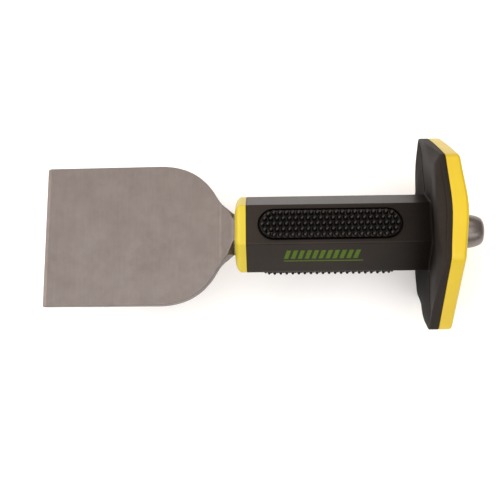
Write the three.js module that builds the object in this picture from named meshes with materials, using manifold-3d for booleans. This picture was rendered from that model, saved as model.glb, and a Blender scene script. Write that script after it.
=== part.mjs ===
// Brick bolster: a wide forged steel chisel with a two-material hand grip and a hand guard.
//
// Frame, in millimetres: +X runs along the tool from the cutting edge (x = 0) to the struck head,
// +Y runs across the blade, and +Z is the upper face of the blade. The tool lies flat.
// Every hexagon has two flats facing +Z and -Z and two corners on the Y axis.

import * as THREE from "three";
import { mergeVertices } from "three/addons/utils/BufferGeometryUtils.js";
import Module from "manifold-3d";

const wasm = await Module();
wasm.setup();

// ---------------------------------------------------------------- driving dimensions
const BLADE_WIDTH = 75;
const TOOL_LENGTH = 229;

// blade and neck
const EDGE_HALF_THICKNESS = 0.3; // flat left on the cutting edge
const BEVEL_LENGTH = 1.8; // sharpened band behind the cutting edge
const BEVEL_HALF_THICKNESS = 1.3;
const BLADE_HALF_THICKNESS = 3.1; // at the root of the blade
const TIP_CORNER_RADIUS = 0.9;
const SHOULDER_START = 60; // the blade's sides are parallel up to here
const SHOULDER_TURN = new THREE.Vector2(88, 23.5); // where the convex shoulder turns concave
const SHOULDER_LEAD_IN = 14; // curve handles of the shoulder: along the blade's side,
const SHOULDER_SLOPE = new THREE.Vector2(2.7, -4); // through the turn,
const SHOULDER_FULLNESS = 2; // longer by this factor on the convex side of the turn,
const SHOULDER_LEAD_OUT = 5; // and along the bar
const RAMP_START = 91.5; // the flat face starts to rise to the bar here
const NECK_END = 99; // from here on the bar is a plain hexagon
const NECK_FLARE = 1.2; // how fast the bar's facets open out towards the blade

// bar and head
const BAR_CORNER = 11.4; // centre to corner of the hexagonal bar
const HEAD_START = 212.2;
const HEAD_BASE_RADIUS = 9.2;
const HEAD_OUTLINE = [
  // distance before the end of the tool, radius: a slow taper, then the rounded rim
  [7, 8.6],
  [2.6, 7.4],
  [0.9, 5.9],
  [0, 3.6],
];

// grip
const GRIP_CORNER = 20.7; // centre to corner of the hexagonal grip
const COLLAR_START = 99.7;
const COLLAR_END = 105.4;
const COLLAR_NOSE_LENGTH = 2.8; // rounded front of the collar
const COLLAR_NOSE_RISE = 7;
const COLLAR_NOSE_STEPS = 4;
const CORE_CORNER = 15.2; // centre to corner of the core's hidden sleeve
const FILLET_LENGTH = 1.2; // where the grip spreads into the guard
const FILLET_RISE = 1.1;

// guard
const GUARD_CORNER = 52.2;
const GUARD_BOW = 0.6; // how far the middle of each side bulges past the straight hexagon
const GUARD_CORNER_CUT = 0.045; // share of each side that the corner rounding uses
const GUARD_FRONT = 199.4;
const GUARD_JOINT = 205.3; // black front layer in front of it, yellow plate behind it
const GUARD_BACK = 213.4;
const JOINT_LEAN = 3; // the +Y and -Y ends of the joint and of the rear face lean towards
const BACK_LEAN = 4.4; // the blade, by up to this much
const LEAN_REACH = 22;
const RIM_CHAMFER = 1.8; // front edge of the rim, measured along the tool
const RIM_CHAMFER_INSET = 2.7; // and measured at a corner of the guard

// grip pads
const PAD_LENGTH = 73.2;
const PAD_WIDTH = 16;
const PAD_CENTRE_X = 148.4;
const POCKET_DEPTH = 1.6;
const PAD_GROOVE = 0.8; // open groove around each pad
const PAD_PROUD = 0.6; // pad surface above the facet
const STUD_RADIUS = 1.4;
const STUD_HEIGHT = 2;
const STUD_SUNK = 0.2; // how deep a stud's foot sits in its pad
const STUD_PITCH = 3.15; // along the tool
const STUD_ROW_SPACING = 2.9; // across the facet, with every second row shifted by half a pitch
const STUD_ROWS_EACH_SIDE = 2; // rows on each side of the middle row
const STUD_DRAW_IN = 0.7; // how far a stud may be moved off the grid to fit at the pad's ends

const GAP = 0.3; // clearance between separate pieces
const OVERLAP = 0.01; // how far joined solids run into each other
const OVERCUT = 1; // how far a cutting solid runs past what it cuts
const SQRT3_2 = Math.sqrt(3) / 2;
const CORNER_GAP = GAP / SQRT3_2; // the same clearance, measured at a hexagon's corner

// how finely curves are drawn
const SHOULDER_STEPS = 8;
const HEAD_SIDES = 36;
const GUARD_SIDE_STEPS = 7;
const GUARD_FACE_STEPS = 28;
const PAD_END_STEPS = 10;
const STUD_SIDES = 4;

// ---------------------------------------------------------------- materials
function steel() {
  return new THREE.MeshStandardMaterial({ color: 0x9a8f89, roughness: 0.45, metalness: 0.9 });
}

function yellowPlastic() {
  return new THREE.MeshStandardMaterial({ color: 0xf2cf37, roughness: 0.45, metalness: 0 });
}

function blackPlastic() {
  return new THREE.MeshStandardMaterial({ color: 0x37322f, roughness: 0.5, metalness: 0 });
}

function blackRubber() {
  return new THREE.MeshStandardMaterial({ color: 0x151413, roughness: 0.75, metalness: 0 });
}

// ---------------------------------------------------------------- solids
function solidOf(geometry) {
  const bare = geometry.clone();
  bare.deleteAttribute("normal");
  bare.deleteAttribute("uv");
  const merged = mergeVertices(bare, 1e-4);
  const vertProperties = new Float32Array(merged.attributes.position.array);
  const triVerts = new Uint32Array(merged.index.array);
  return new wasm.Manifold(new wasm.Mesh({ numProp: 3, vertProperties, triVerts }));
}

function geometryOf(solid) {
  const mesh = solid.getMesh();
  const geometry = new THREE.BufferGeometry();
  geometry.setAttribute("position", new THREE.BufferAttribute(mesh.vertProperties, 3));
  geometry.setIndex(new THREE.BufferAttribute(mesh.triVerts, 1));
  geometry.computeVertexNormals();
  return geometry;
}

function extrude(shape, depth, curveSegments) {
  return new THREE.ExtrudeGeometry(shape, { depth, bevelEnabled: false, curveSegments });
}

// a shape drawn in (y, z), extruded from x0 to x1
function alongX(shape, x0, x1, curveSegments = 1) {
  const turn = new THREE.Matrix4().makeBasis(
    new THREE.Vector3(0, 1, 0),
    new THREE.Vector3(0, 0, 1),
    new THREE.Vector3(1, 0, 0),
  );
  return solidOf(extrude(shape, x1 - x0, curveSegments).applyMatrix4(turn).translate(x0, 0, 0));
}

// a shape drawn in (x, z), extruded to both sides of y = 0
function acrossY(shape, halfWidth) {
  const geometry = extrude(shape, 2 * halfWidth, 1).rotateX(Math.PI / 2);
  return solidOf(geometry.translate(0, halfWidth, 0));
}

// a shape drawn in (x, y), extruded to both sides of z = 0
function acrossZ(shape, halfHeight) {
  return solidOf(extrude(shape, 2 * halfHeight, 1).translate(0, 0, -halfHeight));
}

// a closed outline from its upper half, which runs from one end of the X axis to the other
function mirrored(upperHalf, divisions) {
  const upper = upperHalf.getPoints(divisions);
  const lower = upper.map((p) => new THREE.Vector2(p.x, -p.y)).reverse();
  return new THREE.Shape([...upper, ...lower]);
}

function hexagon(corner) {
  const points = [];
  for (let k = 0; k < 6; k += 1) {
    const angle = (k * Math.PI) / 3;
    points.push(new THREE.Vector2(corner * Math.cos(angle), corner * Math.sin(angle)));
  }
  return new THREE.Shape(points);
}

function hexagonalBar(corner, x0, x1) {
  return alongX(hexagon(corner), x0, x1);
}

// a hexagonal bar whose corner radius changes evenly from x0 to x1
function hexagonalTaper(cornerAtX0, cornerAtX1, x0, x1) {
  const frustum = new THREE.CylinderGeometry(cornerAtX1, cornerAtX0, x1 - x0, 6);
  frustum.rotateZ(-Math.PI / 2).rotateX(Math.PI / 2);
  return solidOf(frustum.translate((x0 + x1) / 2, 0, 0));
}

// ---------------------------------------------------------------- steel bar
// blade, shoulders and neck seen from above
function bladePlan() {
  const half = BLADE_WIDTH / 2;
  const turn = SHOULDER_TURN;
  const path = new THREE.Path();
  path.moveTo(0, half - TIP_CORNER_RADIUS);
  path.lineTo(TIP_CORNER_RADIUS, half);
  path.lineTo(SHOULDER_START, half);
  const before = turn.clone().addScaledVector(SHOULDER_SLOPE, -SHOULDER_FULLNESS);
  path.bezierCurveTo(SHOULDER_START + SHOULDER_LEAD_IN, half, before.x, before.y, turn.x, turn.y);
  const after = turn.clone().add(SHOULDER_SLOPE);
  const barStart = NECK_END - SHOULDER_LEAD_OUT;
  path.bezierCurveTo(after.x, after.y, barStart, BAR_CORNER, NECK_END, BAR_CORNER);
  path.lineTo(NECK_END + OVERCUT, BAR_CORNER);
  return mirrored(path, SHOULDER_STEPS);
}

// blade and neck seen from the side: bevel, tapering blade, then the rise to the bar
function bladeSide() {
  const barHalf = BAR_CORNER * SQRT3_2;
  const path = new THREE.Path();
  path.moveTo(0, EDGE_HALF_THICKNESS);
  path.lineTo(BEVEL_LENGTH, BEVEL_HALF_THICKNESS);
  path.lineTo(RAMP_START, BLADE_HALF_THICKNESS);
  path.lineTo(NECK_END, barHalf);
  path.lineTo(NECK_END + OVERCUT, barHalf);
  return mirrored(path, 1);
}

// turned end of the bar that the hammer strikes
function struckHead() {
  const length = TOOL_LENGTH - HEAD_START;
  const profile = [
    new THREE.Vector2(0, 0),
    new THREE.Vector2(HEAD_BASE_RADIUS, 0),
    ...HEAD_OUTLINE.map(([before, radius]) => new THREE.Vector2(radius, length - before)),
    new THREE.Vector2(0, length),
  ];
  const geometry = new THREE.LatheGeometry(profile, HEAD_SIDES).rotateZ(-Math.PI / 2);
  return solidOf(geometry.translate(HEAD_START, 0, 0));
}

function chiselBar() {
  const blade = acrossZ(bladePlan(), BLADE_WIDTH);
  const profile = acrossY(bladeSide(), BLADE_WIDTH);
  const flare = hexagonalTaper(BAR_CORNER + NECK_FLARE * NECK_END, BAR_CORNER, 0, NECK_END);
  const forged = blade.intersect(profile).intersect(flare);
  const bar = hexagonalBar(BAR_CORNER, NECK_END - OVERLAP, HEAD_START + OVERLAP);
  return forged.add(bar).add(struckHead());
}

// ---------------------------------------------------------------- hand guard
// the stretch of a quadratic curve between the parameters t0 and t1
function stretch(curve, t0, t1) {
  const onFirstLeg = curve.v0.clone().lerp(curve.v1, t0);
  const onSecondLeg = curve.v1.clone().lerp(curve.v2, t0);
  const control = onFirstLeg.lerp(onSecondLeg, t1);
  return new THREE.QuadraticBezierCurve(curve.getPoint(t0), control, curve.getPoint(t1));
}

// hexagon with bulging sides and rounded corners
function guardOutline() {
  const corners = hexagon(GUARD_CORNER).getPoints();
  const outline = new THREE.Shape();
  const sides = corners.map((a, k) => {
    const b = corners[(k + 1) % corners.length];
    const middle = a.clone().add(b).multiplyScalar(0.5);
    const control = middle.clone().setLength(middle.length() + 2 * GUARD_BOW);
    const side = new THREE.QuadraticBezierCurve(a, control, b);
    return stretch(side, GUARD_CORNER_CUT, 1 - GUARD_CORNER_CUT);
  });
  sides.forEach((side, k) => {
    const corner = corners[(k + 1) % corners.length];
    const next = sides[(k + 1) % sides.length].v0;
    outline.curves.push(side, new THREE.QuadraticBezierCurve(side.v2, corner, next));
  });
  return outline;
}

// share of its full lean that a face of the guard has at a distance y from the middle
function leanShare(y) {
  return (y * y) / (y * y + LEAN_REACH ** 2);
}

// slab across the whole guard between two faces that lean towards the blade by the given amounts
function guardSlab(front, frontLean, back, backLean) {
  const halfWidth = GUARD_CORNER + 2 * GUARD_BOW;
  const places = Array.from({ length: GUARD_FACE_STEPS + 1 }, (_, k) => k / GUARD_FACE_STEPS);
  const ys = places.map((place) => halfWidth * (1 - 2 * place));
  const frontFace = ys.map((y) => new THREE.Vector2(front - frontLean * leanShare(y), y));
  const backFace = ys.map((y) => new THREE.Vector2(back - backLean * leanShare(y), y)).reverse();
  return acrossZ(new THREE.Shape([...frontFace, ...backFace]), halfWidth);
}

function guardPrism(front, back) {
  return alongX(guardOutline(), front - JOINT_LEAN - OVERCUT, back + OVERCUT, GUARD_SIDE_STEPS);
}

// black layer: flat front face with a chamfered rim
function guardFace() {
  const back = GUARD_JOINT - GAP;
  const faceCorner = GUARD_CORNER - RIM_CHAMFER_INSET;
  const backCorner = faceCorner + (RIM_CHAMFER_INSET / RIM_CHAMFER) * (back - GUARD_FRONT);
  const chamfer = hexagonalTaper(faceCorner, backCorner, GUARD_FRONT, back);
  const layer = guardPrism(GUARD_FRONT, back).intersect(guardSlab(GUARD_FRONT, 0, back, JOINT_LEAN));
  return layer.intersect(chamfer);
}

// yellow layer: leaning plate behind the black one
function guardPlate() {
  const plate = guardPrism(GUARD_JOINT, GUARD_BACK);
  return plate.intersect(guardSlab(GUARD_JOINT, JOINT_LEAN, GUARD_BACK, BACK_LEAN));
}

// ---------------------------------------------------------------- handle
// quarter-ellipse nose of the collar, as a stack of short hexagonal tapers
function collarNose() {
  const step = (k) => {
    const angle = (k / COLLAR_NOSE_STEPS) * (Math.PI / 2);
    return {
      x: COLLAR_START + COLLAR_NOSE_LENGTH * (1 - Math.cos(angle)),
      corner: GRIP_CORNER - COLLAR_NOSE_RISE * (1 - Math.sin(angle)),
    };
  };
  let nose = null;
  for (let k = 0; k < COLLAR_NOSE_STEPS; k += 1) {
    const a = step(k);
    const b = step(k + 1);
    const slice = hexagonalTaper(a.corner, b.corner, a.x, b.x);
    nose = nose ? nose.add(slice) : slice;
  }
  return nose;
}

// first moulding: front collar, hidden sleeve and rear guard plate in one piece
function handleCore() {
  const noseEnd = COLLAR_START + COLLAR_NOSE_LENGTH;
  const collar = hexagonalBar(GRIP_CORNER, noseEnd, COLLAR_END);
  const sleeve = hexagonalBar(CORE_CORNER, COLLAR_END - OVERLAP, GUARD_JOINT + OVERCUT);
  const bore = hexagonalBar(BAR_CORNER + CORNER_GAP, COLLAR_START - OVERCUT, GUARD_BACK + OVERCUT);
  return collarNose().add(collar).add(sleeve).add(guardPlate()).subtract(bore);
}

// second moulding: black hexagonal grip that spreads into the front face of the guard
function gripCover() {
  const start = COLLAR_END + GAP;
  const fillet = hexagonalTaper(
    GRIP_CORNER,
    GRIP_CORNER + FILLET_RISE,
    GUARD_FRONT - FILLET_LENGTH,
    GUARD_FRONT + OVERCUT,
  );
  const grip = hexagonalBar(GRIP_CORNER, start, GUARD_FRONT + OVERCUT);
  const bore = hexagonalBar(CORE_CORNER + CORNER_GAP, start - OVERCUT, GUARD_BACK);
  let cover = grip.add(fillet).add(guardFace()).subtract(bore);
  for (const { angle } of PADS) cover = cover.subtract(padBlock(0, POCKET_DEPTH, OVERCUT, angle));
  return cover;
}

// ---------------------------------------------------------------- grip pads
const PADS = [
  // angle of the facet's normal, turned from +Z towards +Y
  { name: "grip_pad_top", angle: 0 },
  { name: "grip_pad_rear", angle: 120 },
  { name: "grip_pad_front", angle: -120 },
];

function stadium(length, width) {
  const radius = width / 2;
  const straight = length / 2 - radius;
  const shape = new THREE.Shape();
  shape.absarc(straight, 0, radius, -Math.PI / 2, Math.PI / 2);
  shape.absarc(-straight, 0, radius, Math.PI / 2, (3 * Math.PI) / 2);
  return shape;
}

// stadium block on one facet, inset from the pocket's edge, from `below` to `above` the facet
function padBlock(inset, below, above, angle) {
  const facet = GRIP_CORNER * SQRT3_2;
  const shape = stadium(PAD_LENGTH - 2 * inset, PAD_WIDTH - 2 * inset);
  const geometry = extrude(shape, below + above, PAD_END_STEPS);
  geometry.translate(PAD_CENTRE_X, 0, facet - below).rotateX(-THREE.MathUtils.degToRad(angle));
  return solidOf(geometry);
}

// staggered grid of stud centres, measured from the pad's centre, drawn in at the rounded ends
function studPlaces() {
  const reach = PAD_WIDTH / 2 - PAD_GROOVE - STUD_RADIUS;
  const straight = (PAD_LENGTH - PAD_WIDTH) / 2;
  const columns = Math.ceil(PAD_LENGTH / 2 / STUD_PITCH);
  const places = [];
  for (let row = -STUD_ROWS_EACH_SIDE; row <= STUD_ROWS_EACH_SIDE; row += 1) {
    const shift = row % 2 === 0 ? 0 : 0.5;
    for (let column = -columns; column <= columns; column += 1) {
      const x = (column + shift) * STUD_PITCH;
      const y = row * STUD_ROW_SPACING;
      const hubX = THREE.MathUtils.clamp(x, -straight, straight);
      const fromHub = new THREE.Vector2(x - hubX, y);
      if (fromHub.length() > reach + STUD_DRAW_IN) continue;
      fromHub.clampLength(0, reach);
      places.push({ x: hubX + fromHub.x, y: fromHub.y });
    }
  }
  return places;
}

// pyramid stud, its foot sunk a little into the pad
function stud({ x, y }) {
  const height = STUD_HEIGHT + STUD_SUNK;
  const base = GRIP_CORNER * SQRT3_2 + PAD_PROUD - STUD_SUNK;
  const cone = new THREE.ConeGeometry(STUD_RADIUS, height, STUD_SIDES).rotateX(Math.PI / 2);
  return solidOf(cone.translate(PAD_CENTRE_X + x, y, base + height / 2));
}

// pad modelled on the upper facet; the assembly turns each copy to its own facet
function gripPad() {
  const block = padBlock(PAD_GROOVE, POCKET_DEPTH - GAP, PAD_PROUD, 0);
  return studPlaces().reduce((pad, place) => pad.add(stud(place)), block);
}

// ---------------------------------------------------------------- assembly
function named(name, solid, material) {
  const mesh = new THREE.Mesh(geometryOf(solid), material);
  mesh.name = name;
  return mesh;
}

const group = new THREE.Group();
group.add(named("chisel_bar", chiselBar(), steel()));
group.add(named("handle_core", handleCore(), yellowPlastic()));
group.add(named("grip_cover", gripCover(), blackPlastic()));
for (const { name, angle } of PADS) {
  const pad = named(name, gripPad(), blackRubber());
  pad.rotation.x = -THREE.MathUtils.degToRad(angle);
  group.add(pad);
}

export default group;
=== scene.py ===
import math

import bmesh
import bpy
from mathutils import Matrix, Vector


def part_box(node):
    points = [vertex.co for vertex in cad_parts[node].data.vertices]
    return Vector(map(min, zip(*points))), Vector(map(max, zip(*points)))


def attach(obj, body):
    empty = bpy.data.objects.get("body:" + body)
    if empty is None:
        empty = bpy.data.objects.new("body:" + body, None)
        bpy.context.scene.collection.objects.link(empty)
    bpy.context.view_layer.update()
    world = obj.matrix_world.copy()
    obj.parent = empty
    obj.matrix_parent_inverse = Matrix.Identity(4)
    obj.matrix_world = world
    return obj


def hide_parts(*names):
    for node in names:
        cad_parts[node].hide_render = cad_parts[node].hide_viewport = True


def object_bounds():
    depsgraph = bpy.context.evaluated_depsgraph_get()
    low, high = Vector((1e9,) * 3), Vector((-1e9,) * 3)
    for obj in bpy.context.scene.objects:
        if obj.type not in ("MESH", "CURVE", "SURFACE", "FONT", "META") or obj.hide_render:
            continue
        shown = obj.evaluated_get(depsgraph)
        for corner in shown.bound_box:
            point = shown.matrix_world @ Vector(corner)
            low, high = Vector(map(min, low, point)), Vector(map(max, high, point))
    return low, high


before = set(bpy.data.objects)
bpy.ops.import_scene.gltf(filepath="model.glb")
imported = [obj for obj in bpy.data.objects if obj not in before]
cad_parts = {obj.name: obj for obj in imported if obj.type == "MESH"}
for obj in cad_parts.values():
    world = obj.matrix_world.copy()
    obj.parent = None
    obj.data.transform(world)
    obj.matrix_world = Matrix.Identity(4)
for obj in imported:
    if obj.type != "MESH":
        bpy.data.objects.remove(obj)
CAD_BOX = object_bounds()

# Shapes are worked out in millimetres and scaled to metres when a mesh is made.
MM = 0.001
SIN60 = math.sin(math.radians(60))


def box_mm(node):
    low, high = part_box(node)
    return low / MM, high / MM


# ---------------------------------------------------------------- sizes
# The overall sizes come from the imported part. The others are set here to go with it.
BAR_HIGH = box_mm("chisel_bar")[1]
CORE_LOW = box_mm("handle_core")[0]
COVER_LOW = box_mm("grip_cover")[0]
PAD_LOW, PAD_HIGH = box_mm("grip_pad_top")

BLADE_HALF = BAR_HIGH.y
TOOL_END = BAR_HIGH.x
BAR_CORNER = BAR_HIGH.z / SIN60
EDGE_HALF = 0.3  # half of the flat on the cutting edge
EDGE_BLUNTING = 0.6  # share of it that is left at the very front, where it rounds over
BEVEL_LENGTH = 1.8  # ground band behind the edge
BEVEL_HALF = 1.3
ROOT_HALF = 3.1  # half the blade's thickness where the ramp to the bar starts
TIP_CORNER = 0.9  # radius of the edge's two ends, seen from above
SHOULDER_START = 60.0  # the blade's sides are parallel up to here
SHOULDER_TURN = (88.0, 23.5)  # where the convex shoulder turns concave
SHOULDER_LEAD_IN = 14.0  # curve handles of the shoulder: along the blade's side,
BEFORE_TURN = Vector((-5.5, 8.0))  # on either side of the turn,
AFTER_TURN = Vector((2.7, -4.0))
SHOULDER_LEAD_OUT = 5.0  # and along the bar
RAMP_START = 91.5
NECK_END = 99.0  # from here on the bar is a plain hexagon
NECK_FLARE = 1.4  # how fast the bar's facets open out towards the blade
CREASE_EASES = (0.15, 1.4, 1.2)  # reach of the rounding at the bevel, at the ramp and at the neck's end
BLADE_EDGE_RADIUS = 0.5
BAR_EDGE_RADIUS = 1.1
FULLEST_ROUND = 0.85  # an edge's radius is at most this share of half the thickness
BAR_MIDDLE = 150.0  # a station half way along the plain bar, inside the grip
HEAD_START = 212.2  # the hexagon ends and the turned head starts here

COLLAR_START = CORE_LOW.x
COLLAR_NOSE_LENGTH = 3.4  # rounded front of the collar
COLLAR_NOSE_RISE = 8.0
SLEEVE_CORNER = 15.2  # centre to corner of the core's hidden sleeve
BORE_CORNER = BAR_CORNER + 0.2
BORE_ROUND = 0.8  # rounding where the bore opens in the rear face
CORE_EDGE = 0.35
BACK_ROUND = 1.7
GUARD_BACK = 213.4
GUARD_CORNER = 52.2
GUARD_BOW = 0.6  # how far the middle of each side bulges past the straight hexagon
GUARD_CORNER_CUT = 0.045  # share of each side that the corner rounding uses
JOINT_LEAN = 3.0  # the joint's +Y and -Y ends lean towards the blade by up to this much
BACK_LEAN = 4.4  # and those of the rear face by up to this much
LEAN_REACH = 22.0  # half of the lean is reached this far from the middle

GRIP_START = COVER_LOW.x
GRIP_CORNER = 20.7
GRIP_FACET = GRIP_CORNER * SIN60
GRIP_EDGE_RADIUS = 1.3
COVER_EDGE = 0.3
FILLET_LENGTH = 1.2  # where the grip spreads into the guard
FILLET_RISE = 1.1
FILLET_RADIUS = 2.0
GUARD_FRONT = 199.8  # front face where it meets the grip
GUARD_RIM = 202.7  # front edge of the rim
GUARD_JOINT = 205.3
SEAM = 0.06  # what is left of the gap between the two mouldings

FACE_RISE = (0.6, 0.9)  # how far the face bulges: everywhere, and the extra away from its middle line
FACE_RISE_SHARE = 0.7  # inner share of the face over which the bulge builds up
FACE_MIDDLE = 10.0  # half of the extra is reached this far from that line
FACE_ROUND = 0.2  # outer share of the face that rounds over into the upper and lower sides
FACE_TURN = 0.94  # how much of a quarter turn that rounding makes, as a sine
FACE_SLOPE = 0.3  # outer share of the face that slopes gently down to the other four sides
FACE_SLOPE_CURVE = 1.6
FACE_UPRIGHT = (48, 72)  # degrees from the Y axis, between which the slope gives way to the rounding
FACE_EDGE = 0.7
CORNER_LEAN = 2.4  # extra lean of the rim's front edge at the +Y and -Y corners
CORNER_LEAN_FROM = (24.0, 46.0)  # it builds up between these distances from the middle

PAD_CENTRE = (PAD_LOW.x + PAD_HIGH.x) / 2
POCKET_LENGTH = 73.2
POCKET_WIDTH = 16.0
POCKET_DEPTH = 1.6
PAD_INSET = 0.8
PAD_PROUD = 0.6
PAD_EDGE_RADIUS = 0.55
PAD_ANGLES = {"grip_pad_top": 0, "grip_pad_rear": 120, "grip_pad_front": -120}
STUD_RADIUS = 1.4
STUD_HEIGHT = PAD_HIGH.z - GRIP_FACET - PAD_PROUD
STUD_SIDES = 12
STUD_PITCH = 3.15  # along the tool
STUD_ROW_SPACING = 2.9  # across the facet, with every second row shifted by half a pitch
STUD_ROWS_EACH_SIDE = 2
STUD_DRAW_IN = 0.7  # how far a stud may be moved off the grid to fit at the pad's ends

# Generic mark on the facet between the top pad and the front pad.
MARK_ANGLE = -60
MARK_X = (124.7, 165.2)
MARK_BARS = 11
MARK_BAR_SHARE = 0.62  # of the pitch between two bars
MARK_SLANT = 1.6
MARK_BARS_Y = (-0.4, 5.6)
MARK_LINE_Y = (-2.3, -1.6)

CORNER_STEPS = 8
SIDE_STEPS = 14


# ---------------------------------------------------------------- mesh helpers
def mesh_object(name, points, faces):
    mesh = bpy.data.meshes.new(name)
    mesh.from_pydata([Vector(p) * MM for p in points], [], faces)
    obj = bpy.data.objects.new(name, mesh)
    bpy.context.scene.collection.objects.link(obj)
    tidy_mesh(mesh)
    return obj


def tidy_mesh(mesh):
    """Merge points that fall together and turn every face outwards."""
    bm = bmesh.new()
    bm.from_mesh(mesh)
    bmesh.ops.remove_doubles(bm, verts=bm.verts, dist=2e-7)
    bmesh.ops.dissolve_degenerate(bm, edges=bm.edges, dist=1e-7)
    bmesh.ops.recalc_face_normals(bm, faces=bm.faces)
    bm.to_mesh(mesh)
    bm.free()


def band(a, b, count):
    """Faces between two rings of points that start at the indices a and b."""
    return [(a + k, a + (k + 1) % count, b + (k + 1) % count, b + k) for k in range(count)]


def loft(name, rings, loop=False):
    """Skin over rings of equal length; loop joins the last ring to the first, else ends are capped."""
    count = len(rings[0])
    points = [p for ring in rings for p in ring]
    faces = []
    for i in range(len(rings) if loop else len(rings) - 1):
        faces += band(i * count, (i + 1) % len(rings) * count, count)
    if not loop:
        faces.append(tuple(range(count)))
        faces.append(tuple(range(len(points) - count, len(points))))
    return mesh_object(name, points, faces)


def smooth(obj, angle):
    """Smooth shading that keeps folds sharper than the angle, with flat faces left looking flat."""
    mesh = obj.data
    mesh.shade_smooth()
    bm = bmesh.new()
    bm.from_mesh(mesh)
    limit = math.radians(angle)
    for edge in bm.edges:
        edge.smooth = len(edge.link_faces) != 2 or edge.calc_face_angle(0) < limit
    bm.to_mesh(mesh)
    bm.free()
    weighted = obj.modifiers.new("weighted normals", "WEIGHTED_NORMAL")
    weighted.keep_sharp = True
    weighted.weight = 80


def boolean(obj, other, operation):
    """Exact boolean, applied at once; the second object is used up."""
    modifier = obj.modifiers.new("boolean", "BOOLEAN")
    modifier.operation = operation
    modifier.solver = "EXACT"
    modifier.object = other
    modifier.use_self = True
    bpy.context.view_layer.update()
    evaluated = obj.evaluated_get(bpy.context.evaluated_depsgraph_get())
    mesh = bpy.data.meshes.new_from_object(evaluated)
    obj.modifiers.clear()
    old = obj.data
    obj.data = mesh
    mesh.name = obj.name
    bpy.data.meshes.remove(old)
    bpy.data.meshes.remove(other.data)
    tidy_mesh(mesh)


def lerp(a, b, t):
    return a + (b - a) * t


def bezier(points, t):
    """Point on a Bezier curve of any degree."""
    points = [Vector(p) for p in points]
    while len(points) > 1:
        points = [a.lerp(b, t) for a, b in zip(points, points[1:])]
    return points[0]


def spread(start, stop, steps):
    return [lerp(start, stop, k / steps) for k in range(steps + 1)]


def clamp(value):
    return max(0.0, min(1.0, value))


def eased(share):
    """The share, made to start and stop level."""
    return share * share * (3 - 2 * share)


def polar(radius, angle):
    return radius * Vector((math.cos(angle), math.sin(angle)))


def arc_points(hub, radius, start, stop, steps):
    return [hub + polar(radius, v) for v in spread(start, stop, steps)]


def arc(steps):
    """(sine, one minus cosine) along a quarter turn, for rounding an edge."""
    return [(math.sin(v), 1 - math.cos(v)) for v in spread(0, math.pi / 2, steps)]


def catmull_rom(a, b, c, d, t):
    """Point on the smooth curve from b to c, with a before them and d after them."""
    square = (2 * a - 5 * b + 4 * c - d) * t * t
    cube = (3 * b - a - 3 * c + d) * t**3
    return 0.5 * (2 * b + (c - a) * t + square + cube)


# ---------------------------------------------------------------- steel bar
def shoulder_curves():
    """Control points of the blade's outline, before and after it turns concave."""
    start, turn, end = (SHOULDER_START, BLADE_HALF), Vector(SHOULDER_TURN), (NECK_END, BAR_CORNER)
    convex = [start, (SHOULDER_START + SHOULDER_LEAD_IN, BLADE_HALF), turn + BEFORE_TURN, turn]
    concave = [turn, turn + AFTER_TURN, (NECK_END - SHOULDER_LEAD_OUT, BAR_CORNER), end]
    return convex, concave


def half_thickness(x):
    """Bevel, tapering blade, ramp to the bar and plain bar, with the three creases between them eased."""
    bar_half = BAR_CORNER * SIN60
    creases = [
        (0.0, EDGE_HALF),
        (BEVEL_LENGTH, BEVEL_HALF),
        (RAMP_START, ROOT_HALF),
        (NECK_END, bar_half),
        (NECK_END + 20, bar_half),
    ]
    slopes = [(b[1] - a[1]) / (b[0] - a[0]) for a, b in zip(creases, creases[1:])]
    for (at, value), ease, before, after in zip(creases[1:], CREASE_EASES, slopes, slopes[1:]):
        if abs(x - at) < ease:
            into = x - (at - ease)
            return value - before * ease + before * into + (after - before) * into**2 / (4 * ease)
    for k, (a, b) in enumerate(zip(creases, creases[1:])):
        if x <= b[0]:
            return a[1] + slopes[k] * (x - a[0])
    return bar_half


def bar_ring(x, width, thickness, facet, radius):
    """Section of the bar: a rectangle cut by four facets at 60 degrees, every corner rounded.

    The arcs' hubs are outer, where a facet meets the side, and inner, where it meets the flat.
    """
    w, t, a = width - radius, thickness - radius, facet - radius
    ay = min(w, (a - t / 2) / SIN60)
    outer = Vector((w, t))
    if ay < w:
        by = min(w, a / SIN60)
        outer = Vector((by, max(0.0, 2 * (a - by * SIN60))))
    inner = Vector((ay, t))
    quarter = [Vector((outer.x + radius, 0.0))]
    quarter += arc_points(outer, radius, 0, math.radians(30), 4)
    quarter += arc_points(inner, radius, math.radians(30), math.radians(90), 8)
    quarter += [Vector((inner.x * f, thickness)) for f in (0.85, 0.7, 0.5, 0.25, 0)]
    half = quarter + [Vector((-p.x, p.y)) for p in reversed(quarter[:-1])]
    full = half + [Vector((p.x, -p.y)) for p in reversed(half[1:-1])]
    return [Vector((x, p.x, p.y)) for p in full]


def bar_stations():
    """(x, half width) pairs from the cutting edge to the end of the neck."""
    stations = []
    for v in spread(0, math.pi / 2, 6):
        x = TIP_CORNER * (1 - math.cos(v))
        stations.append((x, BLADE_HALF - TIP_CORNER * (1 - math.sin(v))))
    stations += [(BEVEL_LENGTH + d, BLADE_HALF) for d in (-0.5, -0.2, -0.08, 0, 0.08, 0.2, 0.6)]
    stations += [(x, BLADE_HALF) for x in spread(5, SHOULDER_START - 2, 22)]
    for curve, steps in zip(shoulder_curves(), (22, 26)):
        stations += [tuple(bezier(curve, k / steps)) for k in range(steps)]
    stations += [(NECK_END + d, BAR_CORNER) for d in (0, 0.3, 0.6, 0.9, 1.2, 2)]
    return stations


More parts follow.
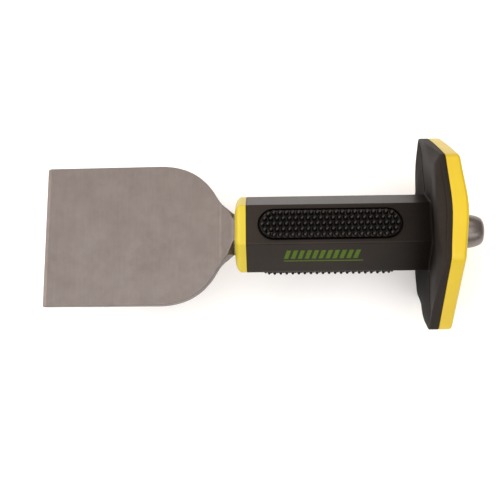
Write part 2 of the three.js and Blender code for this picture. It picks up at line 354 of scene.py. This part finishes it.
def chisel_bar():
    """Blade, neck, hexagonal bar and turned head, as one loft."""
    bar_facet = BAR_CORNER * SIN60
    rings = []
    for x, width in bar_stations():
        facet = (BAR_CORNER + NECK_FLARE * max(0.0, NECK_END - x)) * SIN60
        thickness = half_thickness(x)
        grown = clamp((x - SHOULDER_START) / (NECK_END - SHOULDER_START))
        radius = min(FULLEST_ROUND * thickness, lerp(BLADE_EDGE_RADIUS, BAR_EDGE_RADIUS, grown**2))
        if x == 0:
            thickness *= EDGE_BLUNTING
            radius = FULLEST_ROUND * thickness
        rings.append(bar_ring(x, width, thickness, facet, radius))
    for x in (BAR_MIDDLE, HEAD_START - 1.6):
        rings.append(bar_ring(x, BAR_CORNER, bar_facet, bar_facet, BAR_EDGE_RADIUS))
    for x, radius in head_outline():
        rings.append(bar_ring(x, radius, radius, radius, radius))
    return loft("steel_bar", rings)


def head_outline():
    """(x, radius) of the turned head: shoulder under the guard's rear face, slow taper, rounded rim."""
    before = [(16.6, 9.25), (14.8, 9.15), (7, 8.6), (2.6, 7.4), (0.9, 5.9), (0.12, 3.6)]
    knots = [Vector((TOOL_END - d, r)) for d, r in before]
    knots = [2 * knots[0] - knots[1]] + knots + [Vector((TOOL_END + 0.2, 1.6))]
    outline = [(HEAD_START - 0.8, 9.75), (HEAD_START - 0.2, 9.55), (HEAD_START + 0.1, 9.42)]
    for a, b, c, d in zip(knots, knots[1:], knots[2:], knots[3:]):
        outline += [tuple(catmull_rom(a, b, c, d, k / 6)) for k in range(6)]
    outline += [(TOOL_END - 0.1, 3.4), (TOOL_END - 0.05, 2.4), (TOOL_END - 0.01, 1.2), (TOOL_END, 0.4)]
    return outline


# ---------------------------------------------------------------- rings of the handle
def hexagon(corner, radius):
    """Hexagon in (y, z) with rounded corners, one of them on the Y axis."""
    centre = corner - radius / SIN60
    points = []
    for k in range(6):
        here = math.radians(60 * k)
        nxt = math.radians(60 * k + 60)
        start, stop = here - math.pi / 6, here + math.pi / 6
        points += arc_points(polar(centre, here), radius, start, stop, CORNER_STEPS)
        far = polar(centre, nxt) + polar(radius, nxt - math.pi / 6)
        near = points[-1]
        points += [near.lerp(far, s / SIDE_STEPS) for s in range(1, SIDE_STEPS)]
    return points


def stretch(curve, t0, t1):
    """The part of a quadratic Bezier curve between two parameters."""
    a, b, c = curve
    control = a.lerp(b, t0).lerp(b.lerp(c, t0), t1)
    return [bezier(curve, t0), control, bezier(curve, t1)]


def guard_outline(inset=0.0):
    """Hexagon with bulging sides and rounded corners, shrunk evenly by the inset."""
    corners = [polar(GUARD_CORNER, math.radians(60 * k)) for k in range(7)]
    sides = []
    for a, b in zip(corners, corners[1:]):
        middle = (a + b) / 2
        control = middle * (1 + 2 * GUARD_BOW / middle.length)
        sides.append(stretch([a, control, b], GUARD_CORNER_CUT, 1 - GUARD_CORNER_CUT))
    points = []
    for k, side in enumerate(sides):
        turn = [sides[k - 1][2], corners[k], side[0]]
        points += [bezier(turn, t) for t in spread(0, 1, CORNER_STEPS)]
        points += [bezier(side, s / SIDE_STEPS) for s in range(1, SIDE_STEPS)]
    if not inset:
        return points
    shrunk = []
    for k, p in enumerate(points):
        along = points[(k + 1) % len(points)] - points[k - 1]
        inward = Vector((-along.y, along.x)).normalized()
        shrunk.append(p + inset * inward)
    return shrunk


def lean_share(y):
    return y * y / (y * y + LEAN_REACH**2)


def at_x(points, x, lean=0.0):
    """Ring of 3-D points, its +Y and -Y ends tipped towards the blade by the lean."""
    return [Vector((x - lean * lean_share(p.x), p.x, p.y)) for p in points]


def blend_rings(inner, outer, share):
    return [a.lerp(b, share) for a, b in zip(inner, outer)]


# ---------------------------------------------------------------- yellow moulding
def yellow_core():
    """Collar, hidden sleeve and rear plate, as one loop of rings from the bore out and back."""
    end = GRIP_START - SEAM
    rings = [at_x(hexagon(BORE_CORNER, 1.1), COLLAR_START + 0.8)]
    lip = COLLAR_START + 0.35
    rings.append(at_x(hexagon(BORE_CORNER + 0.1, 1.15), lip + 0.1))
    rings.append(at_x(hexagon(BORE_CORNER + 0.5, 1.4), lip - 0.15))
    for out, rise in arc(10):  # rounded nose of the collar
        x = COLLAR_START + COLLAR_NOSE_LENGTH * rise
        corner = GRIP_CORNER - COLLAR_NOSE_RISE * (1 - out)
        rings.append(at_x(hexagon(corner, lerp(1.6, 2.0, out)), x))
    rings.append(at_x(hexagon(GRIP_CORNER, 1.7), end - CORE_EDGE))
    for out, rise in arc(3)[1:]:
        rings.append(at_x(hexagon(GRIP_CORNER - CORE_EDGE * rise, 1.6), end - CORE_EDGE + CORE_EDGE * out))
    rings.append(at_x(hexagon(SLEEVE_CORNER, 1.0), end))
    front = GUARD_JOINT + SEAM
    rings.append(at_x(hexagon(SLEEVE_CORNER, 1.0), front))
    sleeve = hexagon(SLEEVE_CORNER, 1.0)
    rim = guard_outline(CORE_EDGE)
    for share in spread(0.04, 1, 9):
        rings.append(at_x(blend_rings(sleeve, rim, share), front, JOINT_LEAN))
    for out, rise in arc(3)[1:]:
        rings.append(at_x(guard_outline(CORE_EDGE * (1 - out)), front + CORE_EDGE * rise, JOINT_LEAN))
    for share in (0.35, 0.7):
        x = lerp(front + CORE_EDGE, GUARD_BACK - BACK_ROUND, share)
        rings.append(at_x(guard_outline(), x, lerp(JOINT_LEAN, BACK_LEAN, share)))
    for out, rise in arc(6):
        rings.append(at_x(guard_outline(BACK_ROUND * rise), GUARD_BACK - BACK_ROUND * (1 - out), BACK_LEAN))
    bore = hexagon(BORE_CORNER + BORE_ROUND, 1.4)
    for share in spread(1, 0, 10)[1:]:
        rings.append(at_x(blend_rings(bore, guard_outline(BACK_ROUND), share), GUARD_BACK, BACK_LEAN))
    for out, rise in arc(4)[1:]:
        corner = BORE_CORNER + BORE_ROUND - BORE_ROUND * out
        rings.append(at_x(hexagon(corner, 1.3), GUARD_BACK - BORE_ROUND * rise))
    return loft("yellow_core", rings, loop=True)


# ---------------------------------------------------------------- black moulding
def rim_x(y):
    """Front edge of the guard's rim, where the black face ends."""
    start, stop = CORNER_LEAN_FROM
    outer = clamp((abs(y) - start) / (stop - start))
    return GUARD_RIM - JOINT_LEAN * lean_share(y) - CORNER_LEAN * eased(outer)


def face_ring(foot, rim, share):
    """Ring on the guard's front face, from the grip (share 0) to its rim (share 1), which falls away."""
    ring = at_x(blend_rings(foot, rim, share), GUARD_FRONT)
    inner = min(1.0, share / FACE_RISE_SHARE)
    turn = FACE_TURN * max(0.0, (share - 1 + FACE_ROUND) / FACE_ROUND)
    rounded = (1 - math.sqrt(1 - turn**2)) / (1 - math.sqrt(1 - FACE_TURN**2))
    sloped = max(0.0, (share - 1 + FACE_SLOPE) / FACE_SLOPE) ** FACE_SLOPE_CURVE
    start, stop = FACE_UPRIGHT
    for p in ring:
        rise = FACE_RISE[0] + FACE_RISE[1] * p.z**2 / (p.z**2 + FACE_MIDDLE**2)
        p.x -= rise * eased(inner)
        bearing = math.degrees(math.atan2(abs(p.z), abs(p.y)))
        upright = clamp((bearing - start) / (stop - start))
        p.x = lerp(p.x, rim_x(p.y), lerp(sloped, rounded, upright))
    return ring


def black_cover():
    """Grip and front of the guard, as one loop of rings, with the pads' pockets cut out."""
    edge = COVER_EDGE
    bore = SLEEVE_CORNER + 0.15
    rings = [at_x(hexagon(bore, 1.0), GRIP_START)]
    rings.append(at_x(hexagon(GRIP_CORNER - edge, GRIP_EDGE_RADIUS), GRIP_START))
    for out, rise in arc(3)[1:]:
        corner = GRIP_CORNER - edge * (1 - out)
        rings.append(at_x(hexagon(corner, GRIP_EDGE_RADIUS), GRIP_START + edge * rise))
    rings.append(at_x(hexagon(GRIP_CORNER, GRIP_EDGE_RADIUS), GUARD_FRONT - FILLET_LENGTH - 0.2))
    for share, (out, rise) in zip(spread(0, 1, 7), arc(7)):
        corner = GRIP_CORNER + FILLET_RISE * rise
        x = GUARD_FRONT - FILLET_LENGTH + FILLET_LENGTH * out
        rings.append(at_x(hexagon(corner, lerp(GRIP_EDGE_RADIUS, FILLET_RADIUS, share)), x))
    foot, rim = hexagon(GRIP_CORNER + FILLET_RISE, FILLET_RADIUS), guard_outline(FACE_EDGE)
    shares = spread(0, 1 - FACE_ROUND, 10)[1:]
    shares += [1 - FACE_ROUND + FACE_ROUND * math.sin(v) for v in spread(0, math.pi / 2, 9)[1:]]
    for share in shares:
        rings.append(face_ring(foot, rim, share))
    for out, rise in arc(5)[1:]:
        outline = guard_outline(FACE_EDGE * (1 - out))
        rings.append([Vector((rim_x(p.x) + FACE_EDGE * rise, p.x, p.y)) for p in outline])
    for out, rise in arc(3):
        rings.append(at_x(guard_outline(edge * rise), GUARD_JOINT - edge + edge * out, JOINT_LEAN))
    inner = hexagon(bore, 1.0)
    for share in spread(1, 0, 8)[1:]:
        rings.append(at_x(blend_rings(inner, guard_outline(edge), share), GUARD_JOINT, JOINT_LEAN))
    cover = loft("black_cover", rings, loop=True)
    for angle in PAD_ANGLES.values():
        boolean(cover, pocket_cutter(angle), "DIFFERENCE")
    return cover


# ---------------------------------------------------------------- pads
def stadium(inset, z, steps=14):
    """Ring of a stadium on the upper facet, shrunk by the inset, at a height over the facet."""
    radius = POCKET_WIDTH / 2 - inset
    straight = (POCKET_LENGTH - POCKET_WIDTH) / 2
    ring = []
    for side in (1, -1):
        for v in spread(-math.pi / 2, math.pi / 2, steps):
            x = PAD_CENTRE + side * (straight + radius * math.cos(v))
            ring.append(Vector((x, side * radius * math.sin(v), GRIP_FACET + z)))
    return ring


def turned(obj, angle):
    """Turn a shape made on the upper facet to another facet; positive angles go from +Z to +Y."""
    obj.data.transform(Matrix.Rotation(-math.radians(angle), 4, "X"))
    return obj


def pocket_cutter(angle):
    """Solid in the shape of a pocket: rounded floor, straight wall and rounded rim."""
    # (inset, height over the facet) pairs
    profile = [(0.25, -POCKET_DEPTH), (0.06, -POCKET_DEPTH + 0.1), (0, -POCKET_DEPTH + 0.35)]
    profile += [(0, -0.35), (-0.1, -0.16), (-0.35, 0.02), (-0.6, 0.3), (-0.6, 2)]
    return turned(loft("pocket", [stadium(inset, z) for inset, z in profile]), angle)


def stud_places():
    """Middles of a pad's studs, along and across the facet, measured from the pad's centre."""
    reach = POCKET_WIDTH / 2 - PAD_INSET - STUD_RADIUS
    straight = (POCKET_LENGTH - POCKET_WIDTH) / 2
    columns = math.ceil(POCKET_LENGTH / 2 / STUD_PITCH)
    places = []
    for row in range(-STUD_ROWS_EACH_SIDE, STUD_ROWS_EACH_SIDE + 1):
        for column in range(-columns, columns + 1):
            x = (column + row % 2 / 2) * STUD_PITCH
            y = row * STUD_ROW_SPACING
            hub = Vector((max(-straight, min(straight, x)), 0))
            out = Vector((x, y)) - hub
            if out.length <= reach + STUD_DRAW_IN:
                places.append(hub + out * min(1.0, reach / max(reach, out.length)))
    return places


def studs():
    """Every stud of a pad as one mesh: cones with a spread foot and a rounded tip."""
    # (radius, height) pairs, for a stud that is 2 mm tall
    profile = [(1.5, -0.3), (1.48, 0.02), (1.36, 0.14), (1.2, 0.4), (1.0, 0.85)]
    profile += [(0.82, 1.25), (0.66, 1.6), (0.48, 1.86), (0.26, 1.98)]
    profile_height = 2
    stretch_z = STUD_HEIGHT / profile_height
    foot_z = GRIP_FACET + PAD_PROUD
    sides = STUD_SIDES
    points, faces = [], []
    for px, py in stud_places():
        base = len(points)
        x = PAD_CENTRE + px
        for r, z in profile:
            for k in range(sides):
                v = 2 * math.pi * k / sides
                points.append((x + r * math.cos(v), py + r * math.sin(v), foot_z + z * stretch_z))
        points.append((x, py, foot_z + profile_height * stretch_z))
        top = base + (len(profile) - 1) * sides
        for a in range(base, top, sides):
            faces += band(a, a + sides, sides)
        faces += [(top + k, top + (k + 1) % sides, len(points) - 1) for k in range(sides)]
        faces.append(tuple(base + k for k in reversed(range(sides))))
    return mesh_object("studs", points, faces)


def grip_pad(name, angle):
    """Pad with rounded upper edges and its studs, sitting in its pocket."""
    rise = PAD_EDGE_RADIUS
    rings = [stadium(PAD_INSET + 0.1, 0.05 - POCKET_DEPTH), stadium(PAD_INSET, 0.2 - POCKET_DEPTH)]
    for out, up in arc(5):
        rings.append(stadium(PAD_INSET + rise * up, PAD_PROUD - rise + rise * out))
    pad = loft(name, rings)
    boolean(pad, studs(), "UNION")
    return turned(pad, angle)


# ---------------------------------------------------------------- generic mark and moulding line
def green_mark():
    """Row of short slanted bars over a thin line, set into the facet and raised a hair over it."""
    points, faces = [], []

    def plate(corners):
        base = len(points)
        centre = sum((Vector(c) for c in corners), Vector((0, 0))) / len(corners)
        for lift, share in ((-0.15, 1.0), (0.045, 1.0), (0.06, 0.94)):
            for c in corners:
                p = centre.lerp(Vector(c), share)
                points.append((p.x, p.y, GRIP_FACET + lift))
        n = len(corners)
        for level in (base, base + n):
            faces.extend(band(level, level + n, n))
        faces.append(tuple(base + k for k in reversed(range(n))))
        faces.append(tuple(base + 2 * n + k for k in range(n)))

    start, stop = MARK_X
    low, high = MARK_BARS_Y
    pitch = (stop - start - MARK_SLANT) / MARK_BARS
    for k in range(MARK_BARS):
        x = start + pitch * k
        wide = pitch * MARK_BAR_SHARE
        plate([(x, low), (x + wide, low), (x + wide + MARK_SLANT, high), (x + MARK_SLANT, high)])
    low, high = MARK_LINE_Y
    plate([(start, low), (stop, low), (stop, high), (start, high)])
    return turned(mesh_object("green_mark", points, faces), MARK_ANGLE)


def parting_line(side):
    """Fine moulding line on the black face, from the grip's corner out to the guard's corner."""
    section = [(0.34, 0.25), (0.2, -0.1), (0, -0.16), (-0.2, -0.1), (-0.34, 0.25)]
    rings = []
    foot, rim = [Vector((GRIP_CORNER + FILLET_RISE, 0))], [Vector((GUARD_CORNER - FACE_EDGE, 0))]
    for share in spread(0.01, 0.97, 24):
        on_face = face_ring(foot, rim, share)[0]
        rings.append([Vector((on_face.x + dx, side * on_face.y, z)) for z, dx in section])
    return loft("parting_line_" + ("top" if side > 0 else "bottom"), rings)


# ---------------------------------------------------------------- materials
class Nodes:
    """Small helper that adds nodes to a material and links them."""

    def __init__(self, name):
        self.material = bpy.data.materials.new(name)
        self.material.use_nodes = True
        self.tree = self.material.node_tree
        self.shader = self.tree.nodes["Principled BSDF"]
        self.place = self.add("ShaderNodeTexCoord").outputs["Object"]

    def feed(self, socket, value):
        """Link a socket to another node's output, or set it to a plain value."""
        if isinstance(value, bpy.types.NodeSocket):
            self.tree.links.new(value, socket)
        else:
            socket.default_value = value

    def add(self, kind, inputs=None, **settings):
        node = self.tree.nodes.new(kind)
        for key, value in settings.items():
            setattr(node, key, value)
        for key, value in (inputs or {}).items():
            self.feed(node.inputs[key], value)
        return node

    def scaled(self, x, y, z):
        return self.add("ShaderNodeMapping", {"Vector": self.place, "Scale": (x, y, z)}).outputs["Vector"]

    def noise(self, scale, detail=4, roughness=0.55, vector=None):
        inputs = {"Vector": vector or self.place, "Scale": scale, "Detail": detail, "Roughness": roughness}
        return self.add("ShaderNodeTexNoise", inputs).outputs["Fac"]

    def rescale(self, value, low, high, out_low=0.0, out_high=1.0):
        inputs = {"Value": value, "From Min": low, "From Max": high, "To Min": out_low, "To Max": out_high}
        return self.add("ShaderNodeMapRange", inputs, clamp=True).outputs["Result"]

    def mix(self, share, a, b):
        """Colour a, going over to colour b as the share grows; the numbers are the node's colour sockets."""
        node = self.add("ShaderNodeMix", {0: share, 6: a, 7: b}, data_type="RGBA")
        return node.outputs[2]

    def math(self, operation, a, b):
        return self.add("ShaderNodeMath", {0: a, 1: b}, operation=operation).outputs[0]

    def edges(self, low=0.505, high=0.56):
        """One on outward edges, nought on flats."""
        point = self.add("ShaderNodeNewGeometry").outputs["Pointiness"]
        return self.rescale(point, low, high)

    def openness(self, distance, low, high):
        """One in the open, falling towards nought in corners and beside tall neighbours."""
        node = self.add("ShaderNodeAmbientOcclusion", {"Distance": distance}, samples=6)
        return self.rescale(node.outputs["AO"], low, high)

    def along(self, start, stop):
        """Nought before start and one after stop, along the tool."""
        x = self.add("ShaderNodeSeparateXYZ", {"Vector": self.place}).outputs["X"]
        return self.rescale(x, start, stop)

    def bump(self, height, distance, strength=1.0, after=None):
        inputs = {"Height": height, "Distance": distance, "Strength": strength}
        if after is not None:
            inputs["Normal"] = after
        return self.add("ShaderNodeBump", inputs).outputs["Normal"]

    def finish(self, **sockets):
        for key, value in sockets.items():
            self.feed(self.shader.inputs[key.replace("_", " ")], value)
        return self.material


def rgb(red, green, blue):
    """Display colour, 0 to 255, as the linear colour a node takes."""
    def linear(value):
        value /= 255
        return value / 12.92 if value <= 0.04045 else ((value + 0.055) / 1.055) ** 2.4
    return (linear(red), linear(green), linear(blue), 1.0)


def steel_material():
    n = Nodes("satin_steel")
    cloud = n.rescale(n.noise(60, 6, 0.65), 0.3, 0.7)
    blotch = n.rescale(n.noise(240, 5, 0.6), 0.35, 0.65)
    stain = n.rescale(n.noise(26, 7, 0.7), 0.56, 0.72)
    scratch = n.rescale(n.noise(1100, 3, vector=n.scaled(1, 0.06, 1)), 0.35, 0.75)
    grain = n.noise(3800, 3)
    tone = n.mix(cloud, rgb(112, 104, 101), rgb(121, 114, 111))
    tone = n.mix(n.math("MULTIPLY", blotch, 0.3), tone, rgb(103, 94, 90))
    tone = n.mix(n.math("MULTIPLY", stain, 0.35), tone, rgb(92, 84, 80))
    tone = n.mix(n.math("MULTIPLY", scratch, 0.08), tone, rgb(150, 142, 136))
    # Lighter on outward edges: partly rubbed steel, partly a painted highlight along the edges.
    tone = n.mix(n.math("MULTIPLY", n.edges(), 0.35), tone, rgb(190, 182, 176))
    machined = n.math("MULTIPLY", n.along(0.2125, 0.2135), -0.14)  # the turned head is smoother
    rough = n.math("ADD", n.rescale(blotch, 0, 1, 0.42, 0.5), n.math("MULTIPLY", grain, 0.08))
    rough = n.math("ADD", rough, machined)
    normal = n.bump(blotch, 0.00002, 0.35, n.bump(grain, 0.000015, 0.7))
    return n.finish(Base_Color=tone, Metallic=0.85, Roughness=rough, Normal=normal)


def yellow_material():
    n = Nodes("yellow_plastic")
    cloud = n.rescale(n.noise(30, 3), 0.35, 0.65)
    peel = n.noise(900, 3)
    fine = n.noise(4200, 2)
    tone = n.mix(cloud, rgb(198, 168, 12), rgb(204, 176, 20))
    # Painted sheen: the collar, in front of the grip, is given a less saturated, more lemon yellow than the
    # guard.
    tone = n.mix(n.along(0.11, 0.12), rgb(193, 173, 34), tone)
    rough = n.rescale(peel, 0.3, 0.7, 0.34, 0.44)
    normal = n.bump(peel, 0.00004, 0.35, n.bump(fine, 0.00001, 0.4))
    return n.finish(Base_Color=tone, Roughness=rough, Normal=normal, Specular_IOR_Level=0.45)


def black_material():
    n = Nodes("black_plastic")
    cloud = n.rescale(n.noise(45, 4), 0.35, 0.65)
    spark = n.noise(2600, 4, 0.7)
    dust = n.rescale(n.noise(700, 5, 0.7), 0.58, 0.75)
    tone = n.mix(cloud, rgb(28, 22, 17), rgb(34, 27, 22))
    tone = n.mix(n.math("MULTIPLY", dust, 0.1), tone, rgb(88, 80, 74))
    # A touch lighter on outward edges: partly rubbed plastic, partly a painted highlight along the edges.
    tone = n.mix(n.math("MULTIPLY", n.edges(), 0.06), tone, rgb(80, 74, 70))
    # Painted shade: the colour goes towards near-black in corners and beside the guard, where less light
    # reaches.
    painted_shade_in_nooks = n.rescale(n.openness(0.07, 0.72, 0.97), 0, 1, 0.75, 0)
    tone = n.mix(painted_shade_in_nooks, tone, rgb(6, 6, 5))
    matt = n.math("MULTIPLY", n.along(0.196, 0.199), 0.3)
    rough = n.math("ADD", n.rescale(spark, 0.3, 0.7, 0.33, 0.43), matt)
    gloss = n.rescale(n.openness(0.06, 0.55, 0.98), 0, 1, 0.02, 0.2)
    normal = n.bump(spark, 0.00003, 0.5)
    warm = (1.0, 0.92, 0.87, 1.0)
    return n.finish(
        Base_Color=tone, Roughness=rough, Normal=normal, Specular_IOR_Level=gloss, Specular_Tint=warm
    )


def rubber_material():
    n = Nodes("black_rubber")
    cloud = n.rescale(n.noise(160, 4), 0.35, 0.65)
    fine = n.noise(3200, 4, 0.7)
    tone = n.mix(cloud, rgb(7, 6, 5), rgb(11, 10, 9))
    # Painted highlight: the studs' tips and the pad's edges are made lighter.
    tone = n.mix(n.math("MULTIPLY", n.edges(0.56, 0.68), 0.5), tone, rgb(84, 78, 74))
    rough = n.rescale(fine, 0.3, 0.7, 0.5, 0.65)
    gloss = n.rescale(n.openness(0.0025, 0.45, 1.0), 0, 1, 0.0, 0.19)
    normal = n.bump(fine, 0.00003, 0.5)
    return n.finish(Base_Color=tone, Roughness=rough, Normal=normal, Specular_IOR_Level=gloss)


def painted_seam_shade_material():
    n = Nodes("moulding_seam_painted_shade")
    # Painted shade: the moulding line is near-black with no reflection, so it shows as a dark line on the
    # face.
    tone = n.mix(n.noise(400, 3), rgb(8, 7, 6), rgb(16, 14, 12))
    normal = n.bump(n.noise(3000, 3), 0.00002, 0.4)
    return n.finish(Base_Color=tone, Roughness=0.9, Normal=normal, Specular_IOR_Level=0.0)


def green_material():
    n = Nodes("green_print")
    wear = n.rescale(n.noise(1500, 4, 0.7), 0.35, 0.7)
    tone = n.mix(wear, rgb(58, 82, 12), rgb(78, 102, 20))
    rough = n.rescale(wear, 0, 1, 0.45, 0.6)
    normal = n.bump(wear, 0.00002, 0.4)
    return n.finish(Base_Color=tone, Roughness=rough, Normal=normal, Specular_IOR_Level=0.15)


def floor_material():
    n = Nodes("pale_floor")
    cloud = n.rescale(n.noise(3, 3), 0.3, 0.7)
    tone = n.mix(cloud, rgb(249, 249, 249), rgb(252, 252, 252))
    return n.finish(Base_Color=tone, Roughness=0.9, Emission_Color=(1, 1, 1, 1), Emission_Strength=0.1)


# ---------------------------------------------------------------- the tool
def dress(obj, material, node, angle=32):
    smooth(obj, angle)
    obj.data.materials.clear()
    obj.data.materials.append(material)
    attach(obj, "root")
    if node:
        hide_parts(node)


steel, yellow, black, rubber = steel_material(), yellow_material(), black_material(), rubber_material()
dress(chisel_bar(), steel, "chisel_bar", 20)
dress(yellow_core(), yellow, "handle_core")
dress(black_cover(), black, "grip_cover")
for pad_name, pad_angle in PAD_ANGLES.items():
    dress(grip_pad("studded_" + pad_name, pad_angle), rubber, pad_name, 60)
dress(green_mark(), green_material(), None)
painted_seam_shade = painted_seam_shade_material()
for side in (1, -1):
    dress(parting_line(side), painted_seam_shade, None)


# ---------------------------------------------------------------- floor, light, camera
FLOOR_REACH = 3.0
FLOOR_GAP = 0.0005
CAMERA_TURN = (-1.06, 15.03, 0.79)  # yaw, pitch away from straight down, and roll, in degrees
CAMERA_TARGET = Vector((107.36, 0, 0))
CAMERA_OFFSET = Vector((0, -8.18, 534.25))  # from the target, along the camera's own axes
FOCAL_SHARE = 1020.2 / 500  # focal length over the width of the picture


def floor():
    z = CAD_BOX[0][2] - FLOOR_GAP
    centre = (CAD_BOX[0][0] + CAD_BOX[1][0]) / 2
    mesh = bpy.data.meshes.new("floor")
    signs = ((-1, -1), (1, -1), (1, 1), (-1, 1))
    corners = [(centre + sx * FLOOR_REACH, sy * FLOOR_REACH, z) for sx, sy in signs]
    mesh.from_pydata(corners, [], [(0, 1, 2, 3)])
    obj = bpy.data.objects.new("floor", mesh)
    mesh.materials.append(floor_material())
    bpy.context.scene.collection.objects.link(obj)


def softbox(name, place, target, size, power, colour):
    light = bpy.data.lights.new(name, "AREA")
    light.color = colour
    light.shape = "RECTANGLE"
    light.size, light.size_y = size
    light.energy = power
    obj = bpy.data.objects.new(name, light)
    obj.location = place
    obj.rotation_euler = (Vector(target) - Vector(place)).to_track_quat("-Z", "Y").to_euler()
    bpy.context.scene.collection.objects.link(obj)


def camera():
    """Seen from 75 degrees up, from the -Y side, a little turned and rolled."""
    yaw, pitch, roll = (math.radians(v) for v in CAMERA_TURN)
    tilt = Matrix(((1, 0, 0), (0, math.cos(pitch), math.sin(pitch)), (0, -math.sin(pitch), math.cos(pitch))))
    turn = Matrix(((math.cos(yaw), 0, math.sin(yaw)), (0, 1, 0), (-math.sin(yaw), 0, math.cos(yaw))))
    rolled = Matrix(((math.cos(roll), -math.sin(roll), 0), (math.sin(roll), math.cos(roll), 0), (0, 0, 1)))
    axes = (rolled @ turn @ tilt).transposed()
    place = CAMERA_TARGET + axes @ CAMERA_OFFSET
    data = bpy.data.cameras.new("camera")
    data.lens = FOCAL_SHARE * data.sensor_width
    data.clip_start = 0.01
    obj = bpy.data.objects.new("camera", data)
    obj.matrix_world = Matrix.Translation(place * MM) @ axes.to_4x4()
    bpy.context.scene.collection.objects.link(obj)
    bpy.context.scene.camera = obj


floor()
softbox("overhead", (0.05, -0.25, 1.1), (0.12, 0, 0), (1.3, 1.2), 12.5, (1, 0.98, 0.96))
softbox("from_the_left", (-0.85, 0.1, 0.45), (0.12, 0, 0.05), (0.9, 0.8), 7.5, (1, 0.94, 0.89))
softbox("from_the_front", (0.4, -0.75, 0.62), (0.17, 0, 0), (1.4, 0.3), 3, (1, 0.97, 0.95))
softbox("from_behind", (0.15, 0.7, 0.8), (0.12, 0.1, 0), (1.0, 0.5), 4, (1, 0.89, 0.81))
camera()

world = bpy.data.worlds.new("studio")
world.use_nodes = True
world.node_tree.nodes["Background"].inputs["Color"].default_value = (1, 0.96, 0.93, 1)
world.node_tree.nodes["Background"].inputs["Strength"].default_value = 0.3
bpy.context.scene.world = world
bpy.context.scene.view_settings.view_transform = "Standard"
